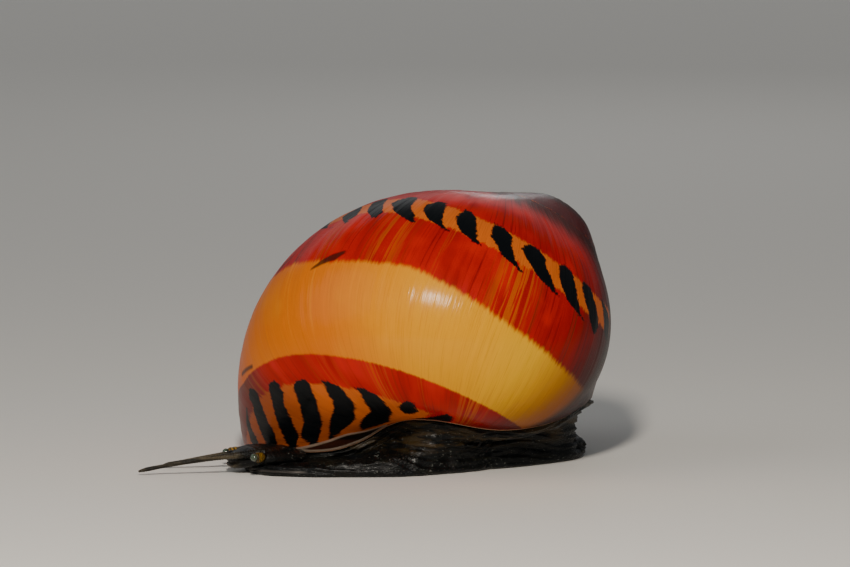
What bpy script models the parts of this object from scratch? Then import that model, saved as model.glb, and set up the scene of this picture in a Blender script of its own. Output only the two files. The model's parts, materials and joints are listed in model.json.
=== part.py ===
"""A crawling nerite snail at life size: shell, foot, tail, head, feelers, eyes and operculum, as solids.

Metres, +Z up, the sole of the foot on the floor at z = 0. The head is towards -X, the tail towards +X and the
animal's left side towards -Y. The shell is a right-handed logarithmic spiral: one section, drawn about a centre
beside the coiling axis, turns clockwise round that axis and grows by a fixed share, away from the apex.
"""

import math

import bmesh
import bpy
import numpy as np
from mathutils import Vector

MM = 0.001
GAP = 0.3 * MM

# Shell: the spiral and its section, in mm, at turn angle 0
GROWTH_PER_RADIAN = 0.12934
SECTION_OFFSET = 2.197
SECTION_DEPTH = 11.602
SECTION_RADIUS = 9.110
SECTION_COS2 = -0.0318
SECTION_SIN2 = -0.1642
SECTION_COS3 = -0.0093
SECTION_SIN3 = 0.0381
APEX = (9.938, -1.627, 14.929)
AXIS_HEADING = 13.2
AXIS_RISE = 45.9
SPIN_ABOUT_AXIS = 30.4
TURNS = 4
# The newest half turn sinks back onto the old one between these turn angles, behind the animal
CLOSING_START = 1.5
CLOSING_END = 3.5
# Neighbouring turns join over a soft seam, and the apex is worn down to a soft flat this far below its point, in mm
JOIN = 0.4
WORN = 0.8
WORN_EDGE = 0.3
FURTHEST = 8.0

# Rays that find the shell's surface start here
CENTRE = (0.0, -1.0, 5.0)
RAY_LENGTH = 30.0
RAY_STEPS = 40
RAY_HALVINGS = 26
AROUND = 120
SHELL_LEVELS = 30
# The last rings below the top have fewer points: rings from the top, and how many neighbours share one point
CAP_MERGES = {1: 15, 2: 8, 3: 4, 4: 2}
SAME_POINT = 0.001 * MM

# Compass tables: degrees from +X towards +Y, then mm
RIM_HEIGHT = {0: 3.1, 25: 2.4, 90: 1.5, 140: 0.75, 157: 0.6, 185: 0.98, 207: 1.2, 220: 1.75, 237: 2.8,
              258: 3.3, 291: 2.57, 318: 2.9, 342: 3.45}
SOLE_RADIUS = {0: 10.3, 20: 9.1, 45: 7.5, 70: 6.7, 95: 6.5, 120: 6.9, 150: 8.2, 168: 9.4, 182: 10.6,
               196: 11.2, 210: 9.9, 225: 8.5, 246: 7.5, 270: 6.7, 295: 6.6, 318: 7.9, 340: 9.9}

# Recess in the shell's base, which the mantle fills
LIP_WALL = 0.95
WALL_LEAN_LIMIT = 1.7
RECESS = 2.2
RECESS_CORNER = 0.25
CEILING = 5.0
MIDDLE_RISE = 1.9
LIP_BEVEL = 0.1

# The mantle's edge, rolled out under the lip where the lip stands high and no operculum lies behind
EDGE_INSET = 0.35
EDGE_DROP = 0.35
EDGE_DEPTH = 0.5
EDGE_LOWEST = 0.08
EDGE_NEEDS_HEIGHT = (1.3, 2.0)
# Compass degrees between which the rear stays open, and the degrees it takes to close on either side
REAR_OPEN = (-12.0, 47.0)
REAR_FADE = 9.0
# Rings of a floor or a ceiling, from its middle outwards
INWARD_SHARES = (0.3, 0.65, 0.9)

# Foot
SOLE_SHRINK = 0.95
# Rings of the thin margin: share of the sole's radius, height, and the share of the flank it may not pass
MARGIN_RINGS = ((0.99, 0.16, 0.5), (1.0, 0.3, 0.6), (0.985, 0.42, 0.8))
FLANK_SHARE = 0.93
FLANK_INSET = 0.7
FOOT_SHARE = 0.5
FOOT_BASE = 0.1
TAIL_CUT = 5.0
BEYOND = 60.0

# Head, in its own frame: along is towards the snout's tip, side towards the animal's left
HEAD_BACK = (-8.75, -2.75)
HEAD_LENGTH = 2.1
HEAD_WIDTH = 3.6
HEAD_FLOOR = 0.76
HEAD_TOP = 1.52
SNOUT_LENGTH = 0.8
SNOUT_WIDTH = 1.8
SNOUT_FLOOR = 0.25
SNOUT_TOP = 1.28
# Each station: along, share of the width, share of the height
HEAD_STATIONS = ((0.0, 0.62, 0.42), (0.4, 0.86, 0.7), (1.0, 0.99, 0.96), (1.5, 1.0, 1.0), (1.85, 0.97, 0.95),
                 (HEAD_LENGTH, 0.88, 0.84))
# Each station: along, share of the width, under side, top, depth of the mouth's line
SNOUT_STATIONS = ((0.0, 0.95, 0.0, 1.0, 0.0), (0.35, 1.0, 0.0, 1.0, 0.0), (0.6, 0.98, 0.0, 0.94, 0.1),
                  (0.78, 0.92, 0.02, 0.84, 0.16), (0.92, 0.76, 0.07, 0.7, 0.2), (1.0, 0.5, 0.16, 0.5, 0.0))
MOUTH_HALF = 0.09
OVAL_MIDDLE = 0.3
OVAL_CORNER = 0.75
OVAL_POINTS = 28

# Feelers and eyes
SMALL_GAP = 0.2
TUBE_SIDES = 12
FEELER_ROOT_SIDE = 1.42
FEELER_WIDTH = 0.5
FEELER_TIP_WIDTH = 0.2
FEELER_LENGTHS = 3
FEELER_STATIONS = 8
FEELER_TAPER_FROM = 0.5
# Where each feeler runs: root height, run along and sideways, height of its tip, how it falls
LEFT_FEELER = (1.24, (-6.2, 2.07), 0.27, 0.75)
RIGHT_FEELER = (0.9, (-3.95, 1.53), 0.26, 0.95)
STALK_WIDTH = 0.5
STALK_TAPER = (1.0, 1.04, 1.0, 0.92, 0.78)
# Along and sideways in the head's frame, and the heights of the left (1) and the right (-1)
STALK_ROOT = (1.75, 2.08, {1: 1.12, -1: 0.98})
STALK_END = (2.2, 2.32, {1: 1.18, -1: 0.85})
EYE_WIDTH = 0.44
EYE_PLACE = (2.5, 2.46, {1: 1.21, -1: 0.82})
EYE_SEGMENTS = 16
EYE_RINGS = 10

# Operculum: a half-moon plate on the tail
LID_PLACE = (7.4, 0.3, 1.6)
LID_LENGTH = 5.6
LID_REAR = 2.3
LID_FRONT = 1.9
LID_THICK = 0.55
LID_POINTS = 40
# Rings of the plate: share of its outline, and height above its under side
LID_RINGS = ((0.4, 0.0), (0.8, 0.0), (1.0, 0.15), (1.0, 0.4), (0.8, LID_THICK), (0.4, LID_THICK))

SHARP_EDGE = 40.0
COLLECTION = "nerite_snail"


def clear_scene():
    for obj in list(bpy.data.objects):
        bpy.data.objects.remove(obj, do_unlink=True)


def new_collection(name, hidden=False):
    collection = bpy.data.collections.new(name)
    bpy.context.scene.collection.children.link(collection)
    collection.hide_render = hidden
    return collection


def material(name, colour, roughness):
    made = bpy.data.materials.new(name)
    made.use_nodes = True
    shader = made.node_tree.nodes["Principled BSDF"]
    shader.inputs["Base Color"].default_value = (*colour, 1.0)
    shader.inputs["Roughness"].default_value = roughness
    return made


def smooth_step(x):
    x = np.clip(x, 0.0, 1.0)
    return x * x * (3.0 - 2.0 * x)


def compass(table, angle):
    """A periodic table read at each angle, joined by cubic curves through its values."""
    keys = np.array(sorted(table), float)
    values = np.array([table[int(key)] for key in keys], float)
    keys = np.concatenate([keys[-2:] - 360.0, keys, keys[:2] + 360.0])
    values = np.concatenate([values[-2:], values, values[:2]])
    degrees = np.degrees(angle) % 360.0
    i = np.clip(np.searchsorted(keys, degrees, side="right") - 1, 1, len(keys) - 3)
    span = keys[i + 1] - keys[i]
    u = (degrees - keys[i]) / span
    slope_a = (values[i + 1] - values[i - 1]) / (keys[i + 1] - keys[i - 1]) * span
    slope_b = (values[i + 2] - values[i]) / (keys[i + 2] - keys[i]) * span
    return ((2 * u**3 - 3 * u**2 + 1) * values[i] + (u**3 - 2 * u**2 + u) * slope_a
            + (3 * u**2 - 2 * u**3) * values[i + 1] + (u**3 - u**2) * slope_b)


def coil_axes():
    """Columns: the shell's own x, y and coiling axis, in the part's frame."""
    heading, rise = math.radians(AXIS_HEADING), math.radians(AXIS_RISE)
    axis = Vector((math.cos(rise) * math.cos(heading), math.cos(rise) * math.sin(heading), math.sin(rise)))
    level = Vector((0, 0, 1)).cross(axis).normalized()
    spin = math.radians(SPIN_ABOUT_AXIS)
    across = axis.cross(level)
    x = across * math.cos(spin) + level * math.sin(spin)
    return np.array([x, axis.cross(x), axis]).T


def section_radius(s):
    return SECTION_RADIUS * (1 + SECTION_COS2 * np.cos(2 * s) + SECTION_SIN2 * np.sin(2 * s)
                             + SECTION_COS3 * np.cos(3 * s) + SECTION_SIN3 * np.sin(3 * s))


def outside_shell(points, axes):
    """Distance in mm from the shell, below zero inside it: the turns joined softly, then the apex worn away."""
    local = (points - np.array(APEX)) @ axes
    radius = np.hypot(local[..., 0], local[..., 1])
    turn = -np.arctan2(local[..., 1], local[..., 0])
    start = CLOSING_END - 2 * math.pi
    newest = np.mod(turn - start, 2 * math.pi) + start
    sink = smooth_step((newest - CLOSING_START) / (CLOSING_END - CLOSING_START))
    joined = np.zeros(radius.shape)
    for n in range(TURNS):
        angle = newest - 2 * math.pi * n
        scale = np.exp(GROWTH_PER_RADIAN * angle)
        share = 1.0
        if n == 0:
            scale = scale * (1 - sink) + np.exp(GROWTH_PER_RADIAN * (angle - 2 * math.pi)) * sink
            share = 1 - sink
        out = radius / scale - SECTION_OFFSET
        along = local[..., 2] / scale + SECTION_DEPTH
        away = (np.hypot(out, along) - section_radius(np.arctan2(along, out))) * scale
        joined += share * np.exp(-np.clip(away, -FURTHEST, FURTHEST) / JOIN)
    above_wear = local[..., 2] + WORN
    return WORN_EDGE * np.logaddexp(-JOIN * np.log(joined) / WORN_EDGE, above_wear / WORN_EDGE)


def reach(origins, directions, axes):
    """Distance along each ray to the shell's outermost crossing: a march inwards, then halving."""
    steps = np.linspace(0, RAY_LENGTH, RAY_STEPS + 1)
    samples = origins[..., None, :] + directions[..., None, :] * steps[:, None]
    inside = outside_shell(samples, axes) < 0
    last = RAY_STEPS - np.argmax(inside[..., ::-1], axis=-1)
    low = steps[last]
    high = low + RAY_LENGTH / RAY_STEPS
    for _ in range(RAY_HALVINGS):
        middle = (low + high) / 2
        within = outside_shell(origins + directions * middle[..., None], axes) < 0
        low = np.where(within, middle, low)
        high = np.where(within, high, middle)
    return low


def level_radius(angle, height, axes):
    """The shell's radius round the centre's upright line, at a height that may differ for each angle."""
    origins = np.stack([np.full_like(angle, CENTRE[0]), np.full_like(angle, CENTRE[1]), height], -1)
    directions = np.stack([np.cos(angle), np.sin(angle), np.zeros_like(angle)], -1)
    return reach(origins, directions, axes)


def ring(angle, radius, height):
    """One closed ring of points round the centre's upright line, in mm."""
    return np.stack([CENTRE[0] + radius * np.cos(angle), CENTRE[1] + radius * np.sin(angle),
                     np.broadcast_to(height, angle.shape)], -1)


def closed_loft(name, rings, collection, finish):
    """Joins rings of equal count into one skin, and closes both ends on a middle point."""
    rings = np.asarray(rings, float) * MM
    count, around = rings.shape[:2]
    points = [*rings.reshape(-1, 3), rings[0].mean(0), rings[-1].mean(0)]
    nearest, furthest = count * around, count * around + 1
    faces = []
    for j in range(around):
        k = (j + 1) % around
        faces.append((nearest, k, j))
        faces.append((furthest, (count - 1) * around + j, (count - 1) * around + k))
        for i in range(count - 1):
            faces.append((i * around + j, i * around + k, (i + 1) * around + k, (i + 1) * around + j))
    mesh = bpy.data.meshes.new(name)
    mesh.from_pydata([tuple(p) for p in points], [], faces)
    shaped = bmesh.new()
    shaped.from_mesh(mesh)
    bmesh.ops.remove_doubles(shaped, verts=shaped.verts, dist=SAME_POINT)
    bmesh.ops.recalc_face_normals(shaped, faces=shaped.faces)
    bmesh.ops.triangulate(shaped, faces=shaped.faces)
    shaped.to_mesh(mesh)
    shaped.free()
    mesh.shade_smooth()
    mesh.set_sharp_from_angle(angle=math.radians(SHARP_EDGE))
    obj = bpy.data.objects.new(name, mesh)
    collection.objects.link(obj)
    if finish:
        mesh.materials.append(finish)
    return obj


def cut(obj, cutter):
    """Takes the cutter's volume out of the object."""
    modifier = obj.modifiers.new("cut_" + cutter.name, "BOOLEAN")
    modifier.operation = "DIFFERENCE"
    modifier.solver = "EXACT"
    modifier.object = cutter


def block(name, low, high, collection):
    """A plain cutting block between two corners, in mm."""
    bpy.ops.mesh.primitive_cube_add(size=1)
    obj = bpy.context.active_object
    obj.name = name
    obj.scale = [(b - a) * MM for a, b in zip(low, high)]
    obj.location = [(a + b) / 2 * MM for a, b in zip(low, high)]
    bpy.ops.object.transform_apply(location=False, rotation=False, scale=True)
    for owner in list(obj.users_collection):
        owner.objects.unlink(obj)
    collection.objects.link(obj)
    as_cutter(obj)
    return obj


def as_cutter(obj):
    obj.hide_render = True
    obj.display_type = "WIRE"


class Outline:
    """The heights and radii, round the compass, that the shell, the mantle and the foot share."""

    def __init__(self, axes):
        self.axes = axes
        self.angle = np.linspace(0, 2 * math.pi, AROUND, endpoint=False)
        self.rim_height = compass(RIM_HEIGHT, self.angle)
        self.rim_radius = level_radius(self.angle, self.rim_height, axes)
        self.recess_height = self.rim_height + RECESS
        self.recess_radius = level_radius(self.angle, self.recess_height, axes)
        self.middle_height = (self.rim_height + self.recess_height) / 2
        self.middle_radius = level_radius(self.angle, self.middle_height, axes)
        spread = (self.middle_radius - self.rim_radius) / (self.middle_height - self.rim_height)
        self.lean = np.hypot(1, spread)
        self.wall = LIP_WALL * np.minimum(self.lean, WALL_LEAN_LIMIT)
        self.sole_radius = compass(SOLE_RADIUS, self.angle)
        self.foot_height = FOOT_SHARE * self.rim_height + FOOT_BASE

    def edge_share(self):
        """How far the mantle's edge rolls out: wholly under a high lip, not at all over the operculum."""
        low, high = EDGE_NEEDS_HEIGHT
        tall = smooth_step((self.rim_height - low) / (high - low))
        middle, half = sum(REAR_OPEN) / 2, (REAR_OPEN[1] - REAR_OPEN[0]) / 2
        from_rear = np.abs((np.degrees(self.angle) - middle + 180.0) % 360.0 - 180.0)
        return tall * smooth_step((from_rear - half) / REAR_FADE)

    def towards_middle(self, radius, height, middle, share):
        """A ring drawn in to a share of its radius, its height led towards the middle's."""
        return ring(self.angle, radius * share, height * share**2 + middle * (1 - share**2))


def shell(outline, collection, finish):
    """The whole shell above its rim, with a recess in its base that the body fills."""
    angle = outline.angle
    wall = outline.wall
    rings = [outline.towards_middle(outline.recess_radius - wall, outline.recess_height, CEILING, share)
             for share in INWARD_SHARES]
    rings.append(ring(angle, outline.recess_radius - wall, outline.recess_height - RECESS_CORNER))
    rings.append(ring(angle, outline.middle_radius - wall, outline.middle_height))
    rings.append(ring(angle, outline.rim_radius - wall, outline.rim_height + LIP_BEVEL))
    start = np.arctan2(outline.rim_height - CENTRE[2], outline.rim_radius)
    for number in range(SHELL_LEVELS):
        level = number / SHELL_LEVELS
        merge = CAP_MERGES.get(SHELL_LEVELS - number, 1)
        kept = np.arange(AROUND) // merge * merge
        rise = start[kept] * (1 - level) + math.pi / 2 * level
        around = angle[kept]
        directions = np.stack([np.cos(rise) * np.cos(around), np.cos(rise) * np.sin(around), np.sin(rise)], -1)
        origins = np.broadcast_to(np.array(CENTRE), directions.shape)
        rings.append(origins + directions * reach(origins, directions, outline.axes)[:, None])
    return closed_loft("shell", rings, collection, finish)


def mantle(outline, collection, finish):
    """The flesh that fills the shell's recess and rolls out as a dark skirt under its rim."""
    angle = outline.angle
    gap = GAP / MM
    inset = outline.wall + gap * outline.lean
    under = outline.foot_height + gap
    neck = outline.rim_radius - inset
    edge = neck + (inset - EDGE_INSET) * outline.edge_share()
    edge_low = np.maximum(outline.rim_height - EDGE_DROP - EDGE_DEPTH, under + EDGE_LOWEST)
    edge_high = np.maximum(outline.rim_height - EDGE_DROP, under + 2 * EDGE_LOWEST)
    floor = MIDDLE_RISE + FOOT_BASE + gap
    rings = [outline.towards_middle(neck, under, floor, share) for share in INWARD_SHARES]
    rings.append(ring(angle, edge, edge_low))
    rings.append(ring(angle, edge, edge_high))
    rings.append(ring(angle, neck, np.maximum(outline.rim_height + LIP_BEVEL, under + 3 * EDGE_LOWEST)))
    rings.append(ring(angle, outline.middle_radius - inset, outline.middle_height))
    rings.append(ring(angle, outline.recess_radius - inset, outline.recess_height - RECESS_CORNER - gap))
    rings.extend(outline.towards_middle(outline.recess_radius - inset, outline.recess_height - gap,
                                        CEILING - gap, share) for share in INWARD_SHARES[::-1])
    return closed_loft("mantle", rings, collection, finish)


def foot_rings(outline):
    """From the flat sole out round the thin margin, up the flank and in over the top."""
    angle = outline.angle
    sole = outline.sole_radius
    top = outline.foot_height
    inner = np.minimum(sole * FLANK_SHARE, outline.rim_radius - FLANK_INSET)
    rings = [ring(angle, sole * share, 0.0) for share in (*INWARD_SHARES[:2], SOLE_SHRINK)]
    for share, height, limit in MARGIN_RINGS:
        margin = np.minimum(height, top * limit)
        rings.append(ring(angle, sole * share, margin))
    rings.append(ring(angle, (inner + sole) / 2, (top + margin) / 2))
    rings.append(ring(angle, inner, top))
    rings.extend(outline.towards_middle(inner, top, MIDDLE_RISE + FOOT_BASE, share)
                 for share in INWARD_SHARES[::-1])
    return rings


def head_point(along, side, height):
    """A point in the head's frame, in mm."""
    return np.array([HEAD_BACK[0] - along, HEAD_BACK[1] - side, height])


def oval_ring(along, width, low, high, notch=0.0):
    """An upright ring across the head: flatter below than above, with a notch in its sides for the mouth."""
    t = np.linspace(0, 2 * math.pi, OVAL_POINTS, endpoint=False)
    middle = low + (high - low) * OVAL_MIDDLE
    rise = np.where(np.sin(t) > 0, high - middle, middle - low)
    side = width / 2 * np.sign(np.cos(t)) * np.abs(np.cos(t)) ** OVAL_CORNER
    height = middle + rise * np.sign(np.sin(t)) * np.abs(np.sin(t)) ** OVAL_CORNER
    side = side * (1 - notch * np.exp(-(((height - middle) / MOUTH_HALF) ** 2)))
    return np.array([head_point(along, a, h) for a, h in zip(side, height)])


def head(collection, finish, name="head", swell=0.0):
    """The low dome between the feelers, its back under the shell's lip. Swell grows it all round."""
    rings = []
    for along, wide, tall in HEAD_STATIONS:
        end = (along == HEAD_LENGTH) - (along == 0.0)
        top = HEAD_FLOOR + (HEAD_TOP - HEAD_FLOOR) * tall
        width = HEAD_WIDTH * wide + 2 * swell
        rings.append(oval_ring(along + swell * end, width, HEAD_FLOOR - swell, top + swell))
    return closed_loft(name, rings, collection, finish)


def snout(collection, finish):
    """The blunt muzzle in front of the head, with the line of the mouth between its lips."""
    start = HEAD_LENGTH + GAP / MM
    span = SNOUT_TOP - SNOUT_FLOOR
    rings = [oval_ring(start + along * SNOUT_LENGTH, SNOUT_WIDTH * wide, SNOUT_FLOOR + span * low,
                       SNOUT_FLOOR + span * high, notch)
             for along, wide, low, high, notch in SNOUT_STATIONS]
    return closed_loft("snout", rings, collection, finish)


def tube(name, route, widths, collection, finish):
    """Round rings carried along a route, in mm, each square to it."""
    tangent = np.gradient(route, axis=0)
    tangent /= np.linalg.norm(tangent, axis=1)[:, None]
    t = np.linspace(0, 2 * math.pi, TUBE_SIDES, endpoint=False)
    rings = []
    for point, ahead, width in zip(route, tangent, widths):
        side = np.cross(ahead, (0.0, 0.0, 1.0))
        side /= np.linalg.norm(side)
        upward = np.cross(side, ahead)
        rings.append(point + width / 2 * (np.cos(t)[:, None] * side + np.sin(t)[:, None] * upward))
    return closed_loft(name, rings, collection, finish)


def feeler(side_name, side, layout, collection, finish):
    """A feeler in three lengths, from the front corner of the head out to a fine tip."""
    root_height, run, tip_height, fall = layout
    root = head_point(HEAD_LENGTH + SMALL_GAP, side * FEELER_ROOT_SIDE, root_height)
    length = math.hypot(*run)
    for n in range(FEELER_LENGTHS):
        start = n / FEELER_LENGTHS + (SMALL_GAP / length if n else 0.0)
        u = np.linspace(start, (n + 1) / FEELER_LENGTHS, FEELER_STATIONS)
        height = tip_height + (root_height - tip_height) * (1 - u) ** fall
        route = np.stack([root[0] + u * run[0], root[1] + u * run[1], height], -1)
        taper = smooth_step((u - FEELER_TAPER_FROM) / (1 - FEELER_TAPER_FROM))
        widths = FEELER_WIDTH + (FEELER_TIP_WIDTH - FEELER_WIDTH) * taper
        tube(f"feeler_{side_name}_{n + 1}", route, widths, collection, finish)


def eye(side_name, side, collection, stalk_finish, eye_finish):
    """A short stalk on the side of the head, with the eye at its end."""
    root = head_point(STALK_ROOT[0], side * STALK_ROOT[1], STALK_ROOT[2][side])
    end = head_point(STALK_END[0], side * STALK_END[1], STALK_END[2][side])
    widths = STALK_WIDTH * np.array(STALK_TAPER)
    route = root + np.linspace(0, 1, len(widths))[:, None] * (end - root)
    tube("eye_stalk_" + side_name, route, widths, collection, stalk_finish)
    ball = bmesh.new()
    bmesh.ops.create_uvsphere(ball, u_segments=EYE_SEGMENTS, v_segments=EYE_RINGS, radius=EYE_WIDTH / 2 * MM)
    place = head_point(EYE_PLACE[0], side * EYE_PLACE[1], EYE_PLACE[2][side])
    mesh = bpy.data.meshes.new("eye_" + side_name)
    ball.to_mesh(mesh)
    ball.free()
    mesh.materials.append(eye_finish)
    mesh.shade_smooth()
    obj = bpy.data.objects.new("eye_" + side_name, mesh)
    obj.location = Vector(place) * MM
    collection.objects.link(obj)


def lid(collection, finish, name="operculum", swell=0.0):
    """The half-moon plate: blunt in front, round behind. Swell grows it all round."""
    t = np.linspace(0, 2 * math.pi, LID_POINTS, endpoint=False)
    depth = np.where(np.cos(t) > 0, LID_REAR, LID_FRONT)
    rings = []
    for share, height in LID_RINGS:
        lift = swell * (1 if height > LID_THICK / 2 else -1)
        x = LID_PLACE[0] + (depth * share + swell) * np.cos(t)
        y = LID_PLACE[1] + (LID_LENGTH / 2 * share + swell) * np.sin(t)
        rings.append(np.stack([x, y, np.full_like(t, LID_PLACE[2] + height + lift)], -1))
    return closed_loft(name, rings, collection, finish)


def build():
    clear_scene()
    parts = new_collection(COLLECTION)
    cutters = new_collection("cutters", hidden=True)
    outline = Outline(coil_axes())
    horn = material("shell_glaze", (0.55, 0.12, 0.01), 0.22)
    flesh = material("dark_flesh", (0.02, 0.022, 0.02), 0.4)
    feeler_flesh = material("feeler_flesh", (0.12, 0.09, 0.06), 0.4)
    stalk_flesh = material("stalk_flesh", (0.4, 0.25, 0.05), 0.4)
    eye_skin = material("eye_glass", (0.03, 0.05, 0.03), 0.1)
    plate = material("operculum_horn", (0.05, 0.03, 0.02), 0.35)

    head_room = head(cutters, None, "head_room", swell=GAP / MM)
    lid_room = lid(cutters, None, "lid_room", swell=GAP / MM)
    half = GAP / MM / 2
    behind = block("behind", (TAIL_CUT - half, -BEYOND, -BEYOND), (BEYOND, BEYOND, BEYOND), cutters)
    ahead = block("ahead", (-BEYOND, -BEYOND, -BEYOND), (TAIL_CUT + half, BEYOND, BEYOND), cutters)
    for cutter in (head_room, lid_room):
        as_cutter(cutter)

    shell(outline, parts, horn)
    cut(mantle(outline, parts, flesh), lid_room)
    foot = closed_loft("foot", foot_rings(outline), parts, flesh)
    for cutter in (head_room, behind):
        cut(foot, cutter)
    tail = closed_loft("tail", foot_rings(outline), parts, flesh)
    for cutter in (lid_room, ahead):
        cut(tail, cutter)
    lid(parts, plate)
    head(parts, flesh)
    snout(parts, flesh)
    for side_name, side, layout in (("left", 1, LEFT_FEELER), ("right", -1, RIGHT_FEELER)):
        feeler(side_name, side, layout, parts, feeler_flesh)
        eye(side_name, side, parts, stalk_flesh, eye_skin)


build()
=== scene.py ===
"""A crawling nerite snail at life size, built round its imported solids: lacquered shell, wet black flesh, feelers,
eyes and operculum, on a pale studio floor. Sizes in mm are multiplied by MM. The head is towards -X, the animal's
left side towards -Y, and the sole of the foot is at z = 0.
"""

import json
import math

import bmesh
import bpy
import numpy as np
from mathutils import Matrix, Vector

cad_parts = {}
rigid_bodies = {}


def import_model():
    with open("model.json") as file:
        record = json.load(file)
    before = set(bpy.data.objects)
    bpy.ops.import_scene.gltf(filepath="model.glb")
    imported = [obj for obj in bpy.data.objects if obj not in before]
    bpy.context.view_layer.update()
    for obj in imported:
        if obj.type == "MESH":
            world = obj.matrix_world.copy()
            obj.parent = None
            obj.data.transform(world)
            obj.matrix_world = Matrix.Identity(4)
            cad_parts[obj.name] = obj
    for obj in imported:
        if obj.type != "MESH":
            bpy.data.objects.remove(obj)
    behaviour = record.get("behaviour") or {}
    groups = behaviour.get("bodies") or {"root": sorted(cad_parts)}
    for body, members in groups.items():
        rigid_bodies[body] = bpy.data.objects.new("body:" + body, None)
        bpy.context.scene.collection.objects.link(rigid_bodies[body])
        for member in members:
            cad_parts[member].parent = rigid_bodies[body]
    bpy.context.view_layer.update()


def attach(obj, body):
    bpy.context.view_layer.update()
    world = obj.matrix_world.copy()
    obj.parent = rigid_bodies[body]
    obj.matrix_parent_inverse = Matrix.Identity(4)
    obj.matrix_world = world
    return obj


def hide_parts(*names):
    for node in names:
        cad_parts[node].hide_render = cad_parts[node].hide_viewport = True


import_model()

# Camera and studio.
# A long lens stands off the animal's left side, turned a little towards its head and raised a little above it.
# A small soft box above the lens makes the bright glint, others fill from the head, rim the top and light the floor.
MM = 0.001
VIEW_AZIMUTH = math.radians(-20.0)
VIEW_ELEVATION = math.radians(8.0)
VIEW_DISTANCE = 900 * MM
FRAME_WIDTH = 49.42 * MM
SENSOR_WIDTH = 36.0
AIM = Vector((1.446, 0.725, 9.99)) * MM
SHARP_PLANE = 5 * MM
FLOOR_HALF = 700 * MM
CARD_HEX = "#EEEBE4"

view_back = Vector((math.sin(VIEW_AZIMUTH) * math.cos(VIEW_ELEVATION),
                    -math.cos(VIEW_AZIMUTH) * math.cos(VIEW_ELEVATION), math.sin(VIEW_ELEVATION)))
view_right = Vector((math.cos(VIEW_AZIMUTH), math.sin(VIEW_AZIMUTH), 0))
view_up = view_back.cross(view_right)

lens = bpy.data.cameras.new("camera")
lens.sensor_width = SENSOR_WIDTH
lens.lens = SENSOR_WIDTH * VIEW_DISTANCE / FRAME_WIDTH
lens.clip_start = 10 * MM
camera = bpy.data.objects.new("camera", lens)
camera.location = AIM + view_back * (SHARP_PLANE + VIEW_DISTANCE)
camera.rotation_euler = (-view_back).to_track_quat("-Z", "Y").to_euler()
bpy.context.scene.collection.objects.link(camera)
bpy.context.scene.camera = camera


def colour(text):
    """An sRGB hex value as linear RGBA."""
    parts = [int(text[i:i + 2], 16) / 255 for i in (1, 3, 5)]
    return (*[p / 12.92 if p <= 0.04045 else ((p + 0.055) / 1.055) ** 2.4 for p in parts], 1.0)


def add(tree, kind, settings=None, inputs=None, output=0):
    """Adds a node with its settings, fills its inputs with values or links, and gives one of its outputs."""
    node = tree.nodes.new(kind)
    for name, value in (settings or {}).items():
        setattr(node, name, value)
    for key, value in (inputs or {}).items():
        if isinstance(value, bpy.types.NodeSocket):
            tree.links.new(value, node.inputs[key])
        else:
            node.inputs[key].default_value = value
    return node.outputs[output]


def new_material(name, roughness, ior, base=None, **more):
    """A Principled material: its name, its typical roughness and IOR, and other sockets given by name."""
    made = bpy.data.materials.new(name)
    made.use_nodes = True
    shader = made.node_tree.nodes["Principled BSDF"]
    shader.inputs["Roughness"].default_value = roughness
    shader.inputs["IOR"].default_value = ior
    if base:
        shader.inputs["Base Color"].default_value = colour(base)
    for socket, value in more.items():
        shader.inputs[socket.replace("_", " ")].default_value = value
    return made, made.node_tree, shader


# Each soft box: name, how far behind the snail it aims, how far right, up and back of there it stands, its distance,
# width, height, watts and tint. The last one hangs over the floor behind and lights only that.
SOFT_BOXES = (
    ("key_light", 0, (-0.06, 0.44, 0.90), 160, 14, 26, 0.185, "#FFF6EA"),
    ("head_light", 0, (-0.9, 0.5, 0.35), 260, 240, 200, 0.105, "#FFFFFF"),
    ("rim_light", 0, (0.1, 0.42, -0.9), 170, 13, 8, 0.005, "#FFFFFF"),
    ("floor_light", 430, (0.0, 1.0, 0.0), 260, 700, 300, 0.3, "#FFFFFF"),
)
for name, behind, (right, up, back), distance, width, height, watts, tint in SOFT_BOXES:
    light = bpy.data.lights.new(name, "AREA")
    light.shape = "ELLIPSE"
    light.size, light.size_y = width * MM, height * MM
    light.energy = watts
    light.color = colour(tint)[:3]
    towards = (view_right * right + view_up * up + view_back * back).normalized()
    lamp = bpy.data.objects.new(name, light)
    lamp.location = AIM - view_back * behind * MM + towards * distance * MM
    lamp.rotation_euler = (-towards).to_track_quat("-Z", "Y").to_euler()
    bpy.context.scene.collection.objects.link(lamp)

studio = bpy.data.worlds.new("studio")
studio.use_nodes = True
studio.node_tree.nodes["Background"].inputs["Color"].default_value = colour("#B8BCC0")
studio.node_tree.nodes["Background"].inputs["Strength"].default_value = 0.27
bpy.context.scene.world = studio

bpy.ops.mesh.primitive_plane_add(size=2 * FLOOR_HALF, location=(0, 0, 0))
floor = bpy.context.active_object
floor.name = "floor"
card, card_tree, card_shader = new_material("matt_card", 0.85, 1.45, CARD_HEX)
floor.data.materials.append(card)

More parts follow.
